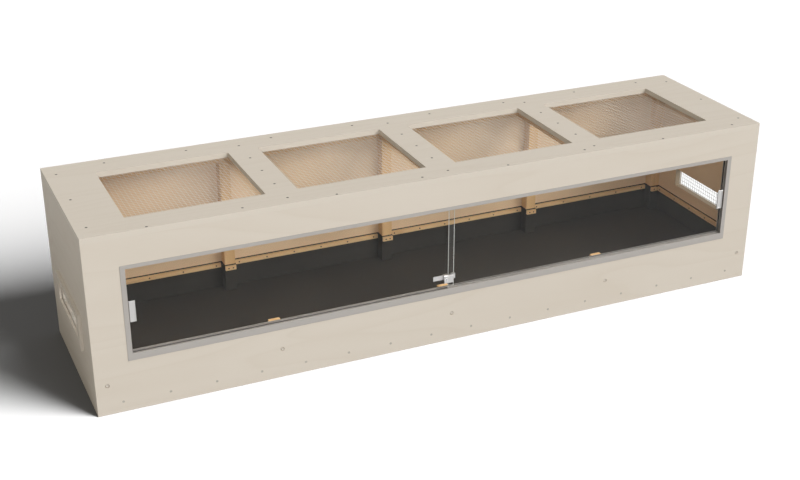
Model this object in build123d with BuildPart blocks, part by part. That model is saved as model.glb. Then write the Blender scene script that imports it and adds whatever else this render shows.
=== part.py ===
"""Reptile enclosure of plywood panels on a timber frame.

Four mesh roof openings, a mesh vent at each end, a black liner tub held by battens,
and a front window with two sliding glass panes held by a ratchet lock.
Millimetres, +Z up. The origin is at the middle of the footprint, on the ground,
under the middle floor bearer. The window faces -Y.
"""

import math
import os

from build123d import *

# Overall box of the plywood shell
LENGTH = 2400.0
DEPTH = 600.0
HEIGHT = 600.0

# Stock
PLY = 18.0
TIMBER = 38.0
THIN_RAIL = 18.0

# Floor
BASE_RAIL_HEIGHT = 42.0

# Roof openings
ROOF_END_MARGIN = 155.7
ROOF_BAR = 105.8
ROOF_FRONT_MARGIN = 99.9
ROOF_BACK_MARGIN = 111.5
ROOF_OPENINGS = 4

# Posts between the corners; the front ones are deeper and end below the window
POSTS = 3
FRONT_POST_DEPTH = 63.0
FRONT_POST_DROP = 11.0

# Window opening in the front panel
WINDOW_END_MARGIN = 111.5
SILL_HEIGHT = 185.0
WINDOW_TOP_MARGIN = 110.5

# Aluminium window profiles, in section
FLANGE = 1.5
TRACK_DEPTH = 24.5
GROOVE = 7.0
FRONT_WALL = 4.0
MIDDLE_WALL = 4.0
WEB = 1.5
SIDE_LAP = 4.0
SIDE_GROOVE_DEPTH = 10.0
BOTTOM_LAP = 12.0
BOTTOM_BASE = 7.0
BOTTOM_GROOVE_DEPTH = 5.0
CHAMBER_WALL = 1.5
TOP_LAP = 2.5
TOP_GROOVE_DEPTH = 8.0

# Sliding panes
GLASS = 4.0
GLASS_FLOOR_CLEARANCE = 0.3
GLASS_TOP_CLEARANCE = 5.5
GLASS_SIDE_CLEARANCE = 2.0
GLASS_OVERLAP = 26.0

# Finger grips
GRIP_WIDTH = 20.0
GRIP_HEIGHT = 70.0
GRIP_THICKNESS = 4.0
GRIP_EDGE_GAP = 4.0
GRIP_ABOVE_SILL = 110.0
GRIP_DISH = 1.5
GRIP_RIM = 3.0

# Ratchet lock
LOCK_ABOVE_SILL = 49.0
BAR_LENGTH = 77.0
BAR_HEIGHT = 17.0
BAR_THICKNESS = 1.5
BAR_SETBACK = 2.5
BAR_TOOTH_PITCH = 4.0
BAR_TOOTH_DEPTH = 1.6
BAR_PLAIN_END = 22.0
HOOK_THICKNESS = 2.5
HOOK_RETURN = 10.0
HOOK_CLEARANCE = 0.3
LOCK_WIDTH = 32.5
LOCK_HEIGHT = 26.5
LOCK_DROP = 4.5
LOCK_CAP = 4.2
LOCK_CAP_LAP = 17.0
LOCK_CLEARANCE = 0.3
LOCK_WALL = 1.8
LOCK_EDGE = 1.2
CYLINDER_RADIUS = 6.0
CYLINDER_LENGTH = 10.0
CYLINDER_PROUD = 1.0
CYLINDER_CLEARANCE = 0.1
KEYWAY_WIDTH = 1.4
KEYWAY_HEIGHT = 7.0
KEYWAY_DEPTH = 6.0

# Liner tub and its battens
LINER = 1.5
LINER_TOP = 161.0
BATTEN_HEIGHT = 15.0
BATTEN_THICKNESS = 8.0
BATTEN_BOTTOM = 142.0
BATTEN_END_GAP = 6.0
CLAMP_CORNER_LENGTH = 25.0

# Welded wire mesh
WIRE = 1.0
MESH_PITCH = 13.5
MESH_LAP = 25.0
MESH_WELD_GAP = 0.05
WIRE_OVERHANG = 1.0

# End vents
VENT_FRONT_MARGIN = 150.0
VENT_BACK_MARGIN = 163.0
VENT_BOTTOM = 203.0
VENT_HEIGHT = 67.0
VENT_MESH_LAP = 10.0
COVER = 10.0
COVER_END_LAP = 26.0
COVER_BOTTOM_LAP = 36.0
COVER_TOP_LAP = 25.0
COVER_REBATE_CLEARANCE = 0.5
COVER_REBATE_SLACK = 0.1

# Staples
STAPLE_WIRE = 1.0
STAPLE_CROWN = 9.0
STAPLE_LEG = 9.0
STAPLE_PITCH = 110.0
STAPLE_MARGIN = 28.0

# Screws and bolts
SCREW_HEAD_RADIUS = 4.2
SCREW_SHANK_RADIUS = 2.0
SCREW_LENGTH = 45.0
BATTEN_SCREW_HEAD_RADIUS = 2.8
BATTEN_SCREW_SHANK_RADIUS = 1.4
BATTEN_SCREW_LENGTH = 22.0
BOLT_HEAD_RADIUS = 4.6
BOLT_HEAD_HEIGHT = 2.5
BOLT_HEAD_GAP = 1.8
BOLT_RECESS = 0.5
BOLT_SHANK_RADIUS = 3.0
BOLT_LENGTH = 50.0
BOLT_SOCKET_RADIUS = 2.0
BOLT_SOCKET_DEPTH = 1.6
SCREW_TIP = 5.0
HOLE_CLEARANCE = 0.1
HEAD_RECESS = 0.2
DRIVE_SLOT = 0.24
DRIVE_REACH = 1.1
DRIVE_DEPTH = 0.3

# Screw rows
JOIST_SCREWS = 5
JOIST_SCREW_MARGIN = 10.0
SIDE_SCREWS = 3
SIDE_SCREW_MARGIN = 75.0
FRONT_ROW_SCREWS = 8
FRONT_ROW_LEFT_MARGIN = 200.0
FRONT_ROW_RIGHT_MARGIN = 100.0
BACK_ROW_SCREWS = 6
BACK_ROW_LEFT_MARGIN = 476.0
BACK_ROW_RIGHT_MARGIN = 424.0
BACK_END_SCREW_LEFT_MARGIN = 200.0
BACK_END_SCREW_RIGHT_MARGIN = 151.0
LOWER_ROW_SCREWS = 16
LOWER_ROW_MARGIN = 81.0
LOWER_ROW_HEIGHT = 35.5
POST_BOLT_HEIGHT = 101.0
BATTEN_SCREW_MARGIN = 17.0
INNER_BAY_SCREWS = 6
OUTER_BAY_SCREWS = 5
SIDE_BATTEN_SCREWS = 5
SIDE_BATTEN_SCREW_PITCH = 100.0
CLAMP_SCREW_SPACING = 16.0
COVER_SCREW_MARGIN = 11.0

# Planes and levels that the pieces share
left = -LENGTH / 2
right = LENGTH / 2
front = -DEPTH / 2
back = DEPTH / 2
inner_left = left + PLY
inner_right = right - PLY
inner_front = front + PLY
inner_back = back - PLY
roof_under = HEIGHT - PLY
timber_top = roof_under - TIMBER
floor_top = BASE_RAIL_HEIGHT + PLY
window_left = left + WINDOW_END_MARGIN
window_right = right - WINDOW_END_MARGIN
window_top = HEIGHT - WINDOW_TOP_MARGIN
middle_depth = (inner_front + inner_back) / 2
room_depth = inner_back - inner_front

roof_opening_length = (LENGTH - 2 * ROOF_END_MARGIN - (ROOF_OPENINGS - 1) * ROOF_BAR) / ROOF_OPENINGS
roof_opening_depth = DEPTH - ROOF_FRONT_MARGIN - ROOF_BACK_MARGIN
roof_opening_y = (ROOF_FRONT_MARGIN - ROOF_BACK_MARGIN) / 2
roof_pitch = roof_opening_length + ROOF_BAR
roof_centres = [(n - (ROOF_OPENINGS - 1) / 2) * roof_pitch for n in range(ROOF_OPENINGS)]
joist_centres = [(a + b) / 2 for a, b in zip(roof_centres, roof_centres[1:])]

post_pitch = LENGTH / (POSTS + 1)
post_centres = [(n - (POSTS - 1) / 2) * post_pitch for n in range(POSTS)]
corner_centre = inner_right - TIMBER / 2
all_post_centres = [-corner_centre, *post_centres, corner_centre]

vent_depth = DEPTH - VENT_FRONT_MARGIN - VENT_BACK_MARGIN
vent_y = (VENT_FRONT_MARGIN - VENT_BACK_MARGIN) / 2
vent_z = VENT_BOTTOM + VENT_HEIGHT / 2

os.makedirs("parts", exist_ok=True)


def box_between(x_range, y_range, z_range):
    """Add a box between two limits on each axis."""
    size = [high - low for low, high in (x_range, y_range, z_range)]
    middle = [(low + high) / 2 for low, high in (x_range, y_range, z_range)]
    with Locations(tuple(middle)):
        Box(*size)


def evenly(low, high, count):
    """Evenly spaced values from low to high."""
    step = (high - low) / max(count - 1, 1)
    return [low + step * n for n in range(count)]


def wood_screw(head_radius, shank_radius, length):
    """A countersunk screw: the flat of its head at the origin, its point down -Z."""
    cone = head_radius - shank_radius
    with BuildPart() as screw:
        with BuildSketch(Plane.XZ):
            with BuildLine():
                Polyline(
                    (0, 0),
                    (head_radius, 0),
                    (shank_radius, -cone),
                    (shank_radius, -length + SCREW_TIP),
                    (0, -length),
                    close=True,
                )
            make_face()
        revolve(axis=Axis.Z)
        with BuildSketch(Plane.XY.offset(-DRIVE_DEPTH * head_radius)):
            Rectangle(DRIVE_REACH * head_radius, DRIVE_SLOT * head_radius)
            Rectangle(DRIVE_SLOT * head_radius, DRIVE_REACH * head_radius)
        extrude(amount=DRIVE_DEPTH * head_radius, mode=Mode.SUBTRACT)
    return screw.part


def panel_bolt():
    """A flat-headed bolt with a hexagon socket: its head's face at the origin, down -Z."""
    with BuildPart() as bolt:
        with BuildSketch(Plane.XY):
            Circle(BOLT_HEAD_RADIUS)
        extrude(amount=-BOLT_HEAD_HEIGHT)
        chamfer(bolt.edges().group_by(Axis.Z)[-1], length=BOLT_HEAD_HEIGHT / 5)
        with BuildSketch(Plane.XY.offset(-BOLT_HEAD_HEIGHT)):
            Circle(BOLT_SHANK_RADIUS)
        extrude(amount=BOLT_HEAD_HEIGHT - BOLT_LENGTH)
        with BuildSketch(Plane.XY.offset(-BOLT_SOCKET_DEPTH)):
            RegularPolygon(BOLT_SOCKET_RADIUS, 6)
        extrude(amount=BOLT_SOCKET_DEPTH, mode=Mode.SUBTRACT)
    return bolt.part


def screw_hole(head_radius, shank_radius, depth):
    """Cut the countersunk hole that a wood screw fills, at each current location."""
    CounterSinkHole(
        radius=shank_radius + HOLE_CLEARANCE,
        counter_sink_radius=head_radius + HOLE_CLEARANCE + HEAD_RECESS,
        depth=depth,
    )


# Screw places on the roof: joists, end rails, front panel edge and rail, back rail
joist_rows = [
    (x, y)
    for x in joist_centres
    for y in evenly(
        inner_front + THIN_RAIL + JOIST_SCREW_MARGIN,
        inner_back - TIMBER - JOIST_SCREW_MARGIN,
        JOIST_SCREWS,
    )
]
side_rows = [
    (x, y)
    for x in (-corner_centre, corner_centre)
    for y in evenly(front + SIDE_SCREW_MARGIN, back - SIDE_SCREW_MARGIN, SIDE_SCREWS)
]
front_row_xs = evenly(left + FRONT_ROW_LEFT_MARGIN, right - FRONT_ROW_RIGHT_MARGIN, FRONT_ROW_SCREWS)
front_row = [
    (x, front + PLY / 2 if n % 2 == 0 else inner_front + THIN_RAIL / 2)
    for n, x in enumerate(front_row_xs)
]
back_row_xs = [
    left + BACK_END_SCREW_LEFT_MARGIN,
    *evenly(left + BACK_ROW_LEFT_MARGIN, right - BACK_ROW_RIGHT_MARGIN, BACK_ROW_SCREWS),
    right - BACK_END_SCREW_RIGHT_MARGIN,
]
back_row = [(x, inner_back - TIMBER / 2) for x in back_row_xs]
roof_screw_points = joist_rows + side_rows + front_row + back_row
lower_row = evenly(left + LOWER_ROW_MARGIN, right - LOWER_ROW_MARGIN, LOWER_ROW_SCREWS)

# Top panel with its mesh openings
with BuildPart() as top_panel:
    with BuildSketch(Plane.XY.offset(roof_under)):
        Rectangle(LENGTH, DEPTH)
        with Locations(*[(x, roof_opening_y) for x in roof_centres]):
            Rectangle(roof_opening_length, roof_opening_depth, mode=Mode.SUBTRACT)
    extrude(amount=PLY)
    with Locations(*[(x, y, HEIGHT) for x, y in roof_screw_points]):
        screw_hole(SCREW_HEAD_RADIUS, SCREW_SHANK_RADIUS, PLY)
top_panel.part.label = "top_panel"
export_step(top_panel.part, "parts/top_panel.step")

# Front panel with the window opening; its face is drawn looking along +Y
front_face = Plane(origin=(0, front, 0), x_dir=(1, 0, 0), z_dir=(0, -1, 0))
with BuildPart() as front_panel:
    with BuildSketch(front_face):
        with Locations((0, roof_under / 2)):
            Rectangle(LENGTH, roof_under)
        with Locations((0, (SILL_HEIGHT + window_top) / 2)):
            Rectangle(window_right - window_left, window_top - SILL_HEIGHT, mode=Mode.SUBTRACT)
    extrude(amount=-PLY)
    with Locations(front_face):
        with Locations(*[(x, LOWER_ROW_HEIGHT) for x in lower_row]):
            screw_hole(SCREW_HEAD_RADIUS, SCREW_SHANK_RADIUS, PLY)
        with Locations(*[(x, POST_BOLT_HEIGHT) for x in all_post_centres]):
            CounterBoreHole(
                radius=BOLT_SHANK_RADIUS + HOLE_CLEARANCE,
                counter_bore_radius=BOLT_HEAD_RADIUS + BOLT_HEAD_GAP,
                counter_bore_depth=BOLT_HEAD_HEIGHT + BOLT_RECESS,
                depth=PLY,
            )
front_panel.part.label = "front_panel"
export_step(front_panel.part, "parts/front_panel.step")

# Back panel, screwed and bolted along the same lines as the front
back_face = Plane(origin=(0, back, 0), x_dir=(-1, 0, 0), z_dir=(0, 1, 0))
with BuildPart() as back_panel:
    with BuildSketch(back_face):
        with Locations((0, roof_under / 2)):
            Rectangle(LENGTH, roof_under)
    extrude(amount=-PLY)
    with Locations(back_face):
        with Locations(*[(x, LOWER_ROW_HEIGHT) for x in lower_row]):
            screw_hole(SCREW_HEAD_RADIUS, SCREW_SHANK_RADIUS, PLY)
        with Locations(*[(x, POST_BOLT_HEIGHT) for x in all_post_centres]):
            CounterBoreHole(
                radius=BOLT_SHANK_RADIUS + HOLE_CLEARANCE,
                counter_bore_radius=BOLT_HEAD_RADIUS + BOLT_HEAD_GAP,
                counter_bore_depth=BOLT_HEAD_HEIGHT + BOLT_RECESS,
                depth=PLY,
            )
back_panel.part.label = "back_panel"
export_step(back_panel.part, "parts/back_panel.step")

# End panels between the front and back panels, each with its vent slot
for side, outer, inner in (("left", left, inner_left), ("right", right, inner_right)):
    with BuildPart() as end_panel:
        box_between(sorted((outer, inner)), (inner_front, inner_back), (0, roof_under))
        with Locations(((outer + inner) / 2, vent_y, vent_z)):
            Box(2 * PLY, vent_depth, VENT_HEIGHT, mode=Mode.SUBTRACT)
    end_panel.part.label = f"{side}_end_panel"
    export_step(end_panel.part, f"parts/{side}_end_panel.step")

# Floor panel on the base rails
with BuildPart() as floor_panel:
    box_between((inner_left, inner_right), (inner_front, inner_back), (BASE_RAIL_HEIGHT, floor_top))
floor_panel.part.label = "floor_panel"
export_step(floor_panel.part, "parts/floor_panel.step")

# Long rails of the base and the bearers between them
for side, low, high in (
    ("front", inner_front, inner_front + TIMBER),
    ("back", inner_back - TIMBER, inner_back),
):
    with BuildPart() as base_rail:
        box_between((inner_left, inner_right), (low, high), (0, BASE_RAIL_HEIGHT))
    base_rail.part.label = f"base_rail_{side}"
    export_step(base_rail.part, f"parts/base_rail_{side}.step")

with BuildPart() as base_cross_rails:
    for x in all_post_centres:
        box_between(
            (x - TIMBER / 2, x + TIMBER / 2),
            (inner_front + TIMBER, inner_back - TIMBER),
            (0, BASE_RAIL_HEIGHT),
        )
base_cross_rails.part.label = "base_cross_rails"
export_step(base_cross_rails.part, "parts/base_cross_rails.step")

# Timber frame under the top panel
with BuildPart() as roof_rail_front:
    box_between(
        (inner_left, inner_right), (inner_front, inner_front + THIN_RAIL), (timber_top, roof_under)
    )
roof_rail_front.part.label = "roof_rail_front"
export_step(roof_rail_front.part, "parts/roof_rail_front.step")

with BuildPart() as roof_rail_back:
    box_between((inner_left, inner_right), (inner_back - TIMBER, inner_back), (timber_top, roof_under))
roof_rail_back.part.label = "roof_rail_back"
export_step(roof_rail_back.part, "parts/roof_rail_back.step")

rail_span = (inner_front + THIN_RAIL, inner_back - TIMBER)
for side, x in (("left", -corner_centre), ("right", corner_centre)):
    with BuildPart() as roof_rail_end:
        box_between((x - TIMBER / 2, x + TIMBER / 2), rail_span, (timber_top, roof_under))
    roof_rail_end.part.label = f"roof_rail_{side}"
    export_step(roof_rail_end.part, f"parts/roof_rail_{side}.step")

for number, x in enumerate(joist_centres, start=1):
    with BuildPart() as roof_joist:
        box_between((x - TIMBER / 2, x + TIMBER / 2), rail_span, (timber_top, roof_under))
    roof_joist.part.label = f"roof_joist_{number}"
    export_step(roof_joist.part, f"parts/roof_joist_{number}.step")

# Posts: full height at the back and in the corners, cut off below the window in front
for number, x in enumerate(post_centres, start=1):
    with BuildPart() as back_post:
        box_between(
            (x - TIMBER / 2, x + TIMBER / 2), (inner_back - TIMBER, inner_back), (floor_top, timber_top)
        )
    back_post.part.label = f"back_post_{number}"
    export_step(back_post.part, f"parts/back_post_{number}.step")

    with BuildPart() as front_post:
        box_between(
            (x - TIMBER / 2, x + TIMBER / 2),
            (inner_front, inner_front + FRONT_POST_DEPTH),
            (floor_top, SILL_HEIGHT - FRONT_POST_DROP),
        )
    front_post.part.label = f"front_post_{number}"
    export_step(front_post.part, f"parts/front_post_{number}.step")

for depth_side, low in (("front", inner_front), ("back", inner_back - TIMBER)):
    for side, x in (("left", -corner_centre), ("right", corner_centre)):
        with BuildPart() as corner_post:
            box_between(
                (x - TIMBER / 2, x + TIMBER / 2), (low, low + TIMBER), (floor_top, timber_top)
            )
        corner_post.part.label = f"corner_post_{depth_side}_{side}"
        export_step(corner_post.part, f"parts/corner_post_{depth_side}_{side}.step")

# Liner tub: the room's outline less the posts, with a thin floor and thin walls
corner_centres = (-corner_centre, corner_centre)
post_footprints = [(x, inner_back - TIMBER / 2, TIMBER) for x in all_post_centres]
post_footprints += [(x, inner_front + TIMBER / 2, TIMBER) for x in corner_centres]
post_footprints += [(x, inner_front + FRONT_POST_DEPTH / 2, FRONT_POST_DEPTH) for x in post_centres]
with BuildPart() as substrate_liner:
    with BuildSketch(Plane.XY.offset(floor_top)):
        with Locations((0, middle_depth)):
            Rectangle(inner_right - inner_left, room_depth)
        for x, y, post_depth in post_footprints:
            with Locations((x, y)):
                Rectangle(TIMBER, post_depth, mode=Mode.SUBTRACT)
    extrude(amount=LINER_TOP - floor_top)
    with BuildSketch(Plane.XY.offset(floor_top + LINER)):
        with Locations((0, middle_depth)):
            Rectangle(inner_right - inner_left - 2 * LINER, room_depth - 2 * LINER)
        for x, y, post_depth in post_footprints:
            with Locations((x, y)):
                Rectangle(TIMBER + 2 * LINER, post_depth + 2 * LINER, mode=Mode.SUBTRACT)
    extrude(amount=LINER_TOP - floor_top, mode=Mode.SUBTRACT)
substrate_liner.part.label = "substrate_liner"
export_step(substrate_liner.part, "parts/substrate_liner.step")

# Battens clamp the liner in each bay and along the ends
batten_top = BATTEN_BOTTOM + BATTEN_HEIGHT
batten_middle = BATTEN_BOTTOM + BATTEN_HEIGHT / 2
back_liner_face = inner_back - LINER
front_liner_face = inner_front + LINER
bays = [
    (a + TIMBER / 2 + BATTEN_END_GAP, b - TIMBER / 2 - BATTEN_END_GAP)
    for a, b in zip(all_post_centres, all_post_centres[1:])
]
bay_screws = []
for low, high in bays:
    outer_bay = low < post_centres[0] or high > post_centres[-1]
    count = OUTER_BAY_SCREWS if outer_bay else INNER_BAY_SCREWS
    bay_screws.append(evenly(low + BATTEN_SCREW_MARGIN, high - BATTEN_SCREW_MARGIN, count))

# Faces that the batten screws go in from, drawn with local X along the batten and local Y up
back_batten_face = Plane(
    origin=(0, back_liner_face - BATTEN_THICKNESS, batten_middle), x_dir=(1, 0, 0), z_dir=(0, -1, 0)
)
front_batten_face = Plane(
    origin=(0, front_liner_face + BATTEN_THICKNESS, batten_middle), x_dir=(-1, 0, 0), z_dir=(0, 1, 0)
)
back_clamp_face = back_batten_face.offset(TIMBER)
front_clamp_face = front_batten_face.offset(FRONT_POST_DEPTH)
front_corner_clamp_face = front_batten_face.offset(TIMBER)
left_batten_face = Plane(
    origin=(inner_left + LINER + BATTEN_THICKNESS, 0, batten_middle), x_dir=(0, 1, 0), z_dir=(1, 0, 0)
)
right_batten_face = Plane(
    origin=(inner_right - LINER - BATTEN_THICKNESS, 0, batten_middle), x_dir=(0, -1, 0), z_dir=(-1, 0, 0)
)


def batten_screw_hole():
    """Cut a batten's own screw hole at each current location."""
    screw_hole(BATTEN_SCREW_HEAD_RADIUS, BATTEN_SCREW_SHANK_RADIUS, BATTEN_THICKNESS)


for number, ((low, high), xs) in enumerate(zip(bays, bay_screws), start=1):
    with BuildPart() as batten:
        box_between(
            (low, high), (back_liner_face - BATTEN_THICKNESS, back_liner_face), (BATTEN_BOTTOM, batten_top)
        )
        with Locations(back_batten_face):
            with Locations(*[(x, 0) for x in xs]):
                batten_screw_hole()
    batten.part.label = f"batten_back_{number}"
    export_step(batten.part, f"parts/batten_back_{number}.step")

with BuildPart() as battens_front:
    for (low, high), xs in zip(bays, bay_screws):
        box_between(
            (low, high),
            (front_liner_face, front_liner_face + BATTEN_THICKNESS),
            (BATTEN_BOTTOM, batten_top),
        )
        with Locations(front_batten_face):
            with Locations(*[(-x, 0) for x in xs]):
                batten_screw_hole()
battens_front.part.label = "battens_front"
export_step(battens_front.part, "parts/battens_front.step")

# End battens, screwed at a fixed pitch from their back ends
end_batten_span = (inner_front + TIMBER + BATTEN_END_GAP, inner_back - TIMBER - BATTEN_END_GAP)
end_screw_ys = [
    end_batten_span[1] - BATTEN_SCREW_MARGIN - n * SIDE_BATTEN_SCREW_PITCH for n in range(SIDE_BATTEN_SCREWS)
]
end_battens = (
    ("left", left_batten_face, (inner_left + LINER, inner_left + LINER + BATTEN_THICKNESS), 1),
    ("right", right_batten_face, (inner_right - LINER - BATTEN_THICKNESS, inner_right - LINER), -1),
)
for side, face, x_range, direction in end_battens:
    with BuildPart() as batten:
        box_between(x_range, end_batten_span, (BATTEN_BOTTOM, batten_top))
        with Locations(face):
            with Locations(*[(direction * y, 0) for y in end_screw_ys]):
                batten_screw_hole()
    batten.part.label = f"batten_{side}"
    export_step(batten.part, f"parts/batten_{side}.step")

# Short clamp blocks across the posts, cut back in the corners to clear the end battens
post_clamp_spans = [(x - TIMBER / 2, x + TIMBER / 2) for x in post_centres]
corner_clamp_spans = [
    (-corner_centre + TIMBER / 2 - CLAMP_CORNER_LENGTH, -corner_centre + TIMBER / 2),
    (corner_centre - TIMBER / 2, corner_centre - TIMBER / 2 + CLAMP_CORNER_LENGTH),
]
post_clamp_xs = [
    x + offset for x in post_centres for offset in (-CLAMP_SCREW_SPACING / 2, CLAMP_SCREW_SPACING / 2)
]
corner_clamp_xs = [(low + high) / 2 for low, high in corner_clamp_spans]
front_post_back = front_liner_face + FRONT_POST_DEPTH
corner_post_back = front_liner_face + TIMBER
back_post_front = back_liner_face - TIMBER
clamp_rows = (
    (
        back_clamp_face,
        (back_post_front - BATTEN_THICKNESS, back_post_front),
        post_clamp_spans + corner_clamp_spans,
        post_clamp_xs + corner_clamp_xs,
    ),
    (
        front_clamp_face,
        (front_post_back, front_post_back + BATTEN_THICKNESS),
        post_clamp_spans,
        [-x for x in post_clamp_xs],
    ),
    (
        front_corner_clamp_face,
        (corner_post_back, corner_post_back + BATTEN_THICKNESS),
        corner_clamp_spans,
        [-x for x in corner_clamp_xs],
    ),
)
with BuildPart() as post_clamp_blocks:
    for face, y_range, spans, along in clamp_rows:
        for x_range in spans:
            box_between(x_range, y_range, (BATTEN_BOTTOM, batten_top))
        with Locations(face):
            with Locations(*[(value, 0) for value in along]):
                batten_screw_hole()
post_clamp_blocks.part.label = "post_clamp_blocks"
export_step(post_clamp_blocks.part, "parts/post_clamp_blocks.step")

# Welded mesh: two layers of wires, the upper along X and the lower along Y
mesh_columns = int((roof_opening_length + 2 * MESH_LAP) / MESH_PITCH) + 1
mesh_rows = int((roof_opening_depth + 2 * MESH_LAP) / MESH_PITCH) + 1
mesh_length = (mesh_columns - 1) * MESH_PITCH + 2 * WIRE_OVERHANG + WIRE
mesh_depth = (mesh_rows - 1) * MESH_PITCH + 2 * WIRE_OVERHANG + WIRE
upper_wires_z = roof_under - WIRE / 2
lower_wires_z = upper_wires_z - WIRE - MESH_WELD_GAP
for number, x in enumerate(roof_centres, start=1):
    with BuildPart() as roof_mesh:
        with Locations((x, roof_opening_y, upper_wires_z)):
            with GridLocations(MESH_PITCH, MESH_PITCH, 1, mesh_rows):
                Box(mesh_length, WIRE, WIRE)
        with Locations((x, roof_opening_y, lower_wires_z)):
            with GridLocations(MESH_PITCH, MESH_PITCH, mesh_columns, 1):
                Box(WIRE, mesh_depth, WIRE)
    roof_mesh.part.label = f"roof_mesh_{number}"
    export_step(roof_mesh.part, f"parts/roof_mesh_{number}.step")

# Staples bridge a lower wire in the mesh's margin, half way between two upper wires
staple_crown_z = lower_wires_z - WIRE / 2 - STAPLE_WIRE / 2


def at_wires(reach, places, wires):
    """Evenly spread places from -reach to reach, each moved to the nearest wire."""
    middle = (wires - 1) / 2
    return [
        (round(place / MESH_PITCH + middle) - middle) * MESH_PITCH for place in evenly(-reach, reach, places)
    ]


long_side_staples = int(mesh_length / STAPLE_PITCH) + 1
short_side_staples = int(mesh_depth / STAPLE_PITCH)
long_side_reach = mesh_length / 2 - STAPLE_MARGIN
short_side_reach = STAPLE_PITCH * (short_side_staples - 1) / 2
edge_row_y = (mesh_rows - 2) / 2 * MESH_PITCH
edge_column_x = (mesh_columns - 3) / 2 * MESH_PITCH
staple_places = [
    (x, y)
    for x in at_wires(long_side_reach, long_side_staples, mesh_columns)
    for y in (-edge_row_y, edge_row_y)
]
staple_places += [
    (x, y + MESH_PITCH / 2)
    for x in (-edge_column_x, edge_column_x)
    for y in at_wires(short_side_reach, short_side_staples, mesh_rows)
]
with BuildPart() as staple:
    with BuildSketch(Plane.XZ):
        with Locations((0, STAPLE_LEG / 2)):
            Rectangle(STAPLE_CROWN + STAPLE_WIRE, STAPLE_LEG + STAPLE_WIRE)
        with Locations((0, STAPLE_LEG / 2 + STAPLE_WIRE)):
            Rectangle(STAPLE_CROWN - STAPLE_WIRE, STAPLE_LEG + STAPLE_WIRE, mode=Mode.SUBTRACT)
    extrude(amount=STAPLE_WIRE / 2, both=True)
with BuildPart() as mesh_staples:
    for centre in roof_centres:
        with Locations(
            *[(centre + x, roof_opening_y + y, staple_crown_z) for x, y in staple_places]
        ):
            add(staple.part)
mesh_staples.part.label = "mesh_staples"
export_step(mesh_staples.part, "parts/mesh_staples.step")

# Vent mesh on each end panel's outer face, in a rebate of its cover plate
vent_columns = int((vent_depth + 2 * VENT_MESH_LAP) / MESH_PITCH) + 1
vent_rows = int((VENT_HEIGHT + 2 * VENT_MESH_LAP) / MESH_PITCH) + 1
vent_mesh_depth = (vent_columns - 1) * MESH_PITCH + 2 * WIRE_OVERHANG + WIRE
vent_mesh_height = (vent_rows - 1) * MESH_PITCH + 2 * WIRE_OVERHANG + WIRE
cover_y_range = (front + VENT_FRONT_MARGIN - COVER_END_LAP, back - VENT_BACK_MARGIN + COVER_END_LAP)
cover_z_range = (VENT_BOTTOM - COVER_BOTTOM_LAP, VENT_BOTTOM + VENT_HEIGHT + COVER_TOP_LAP)
rebate_depth = 2 * WIRE + MESH_WELD_GAP + COVER_REBATE_SLACK
cover_screw_places = [
    (y, z)
    for y in (cover_y_range[0] + COVER_SCREW_MARGIN, cover_y_range[1] - COVER_SCREW_MARGIN)
    for z in (cover_z_range[0] + COVER_SCREW_MARGIN, cover_z_range[1] - COVER_SCREW_MARGIN)
]
left_cover_face = Plane(origin=(left - COVER, 0, 0), x_dir=(0, -1, 0), z_dir=(-1, 0, 0))
right_cover_face = Plane(origin=(right + COVER, 0, 0), x_dir=(0, 1, 0), z_dir=(1, 0, 0))
for side, outward, face in (("left", -1, left_cover_face), ("right", 1, right_cover_face)):
    wall = outward * right
    with BuildPart() as vent_mesh:
        with Locations((wall + outward * WIRE / 2, vent_y, vent_z)):
            for n in range(vent_columns):
                with Locations((0, (n - (vent_columns - 1) / 2) * MESH_PITCH, 0)):
                    Box(WIRE, WIRE, vent_mesh_height)
        with Locations((wall + outward * (1.5 * WIRE + MESH_WELD_GAP), vent_y, vent_z)):
            for n in range(vent_rows):
                with Locations((0, 0, (n - (vent_rows - 1) / 2) * MESH_PITCH)):
                    Box(WIRE, vent_mesh_depth, WIRE)
    vent_mesh.part.label = f"vent_mesh_{side}"
    export_step(vent_mesh.part, f"parts/vent_mesh_{side}.step")

    with BuildPart() as vent_cover:
        box_between(sorted((wall, wall + outward * COVER)), cover_y_range, cover_z_range)
        with Locations((wall + outward * COVER / 2, vent_y, vent_z)):
            Box(2 * COVER, vent_depth, VENT_HEIGHT, mode=Mode.SUBTRACT)
        with Locations((wall, vent_y, vent_z)):
            Box(
                2 * rebate_depth,
                vent_mesh_depth + 2 * COVER_REBATE_CLEARANCE,
                vent_mesh_height + 2 * COVER_REBATE_CLEARANCE,
                mode=Mode.SUBTRACT,
            )
        with Locations(face):
            with Locations(*[(outward * y, z) for y, z in cover_screw_places]):
                screw_hole(BATTEN_SCREW_HEAD_RADIUS, BATTEN_SCREW_SHANK_RADIUS, COVER)
    vent_cover.part.label = f"vent_cover_{side}"
    export_step(vent_cover.part, f"parts/vent_cover_{side}.step")

# Window profiles; depths are measured back from the front panel's face
track_floor = SILL_HEIGHT + BOTTOM_BASE
track_lip = track_floor + BOTTOM_GROOVE_DEPTH
head_web = window_top - WEB
head_lip = head_web - TOP_GROOVE_DEPTH
front_groove = front + FRONT_WALL
rear_groove = front_groove + GROOVE + MIDDLE_WALL
track_back = front + TRACK_DEPTH
side_lip = SIDE_GROOVE_DEPTH + WEB
track_section = Plane(origin=(window_left, 0, 0), x_dir=(0, 1, 0), z_dir=(1, 0, 0))
flange_section = Plane(origin=(window_left - SIDE_LAP, 0, 0), x_dir=(0, 1, 0), z_dir=(1, 0, 0))


def section_box(y_range, z_range, mode=Mode.ADD):
    """Add a rectangle between two limits to the current sketch."""
    with Locations(((y_range[0] + y_range[1]) / 2, (z_range[0] + z_range[1]) / 2)):
        Rectangle(y_range[1] - y_range[0], z_range[1] - z_range[0], mode=mode)


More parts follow.
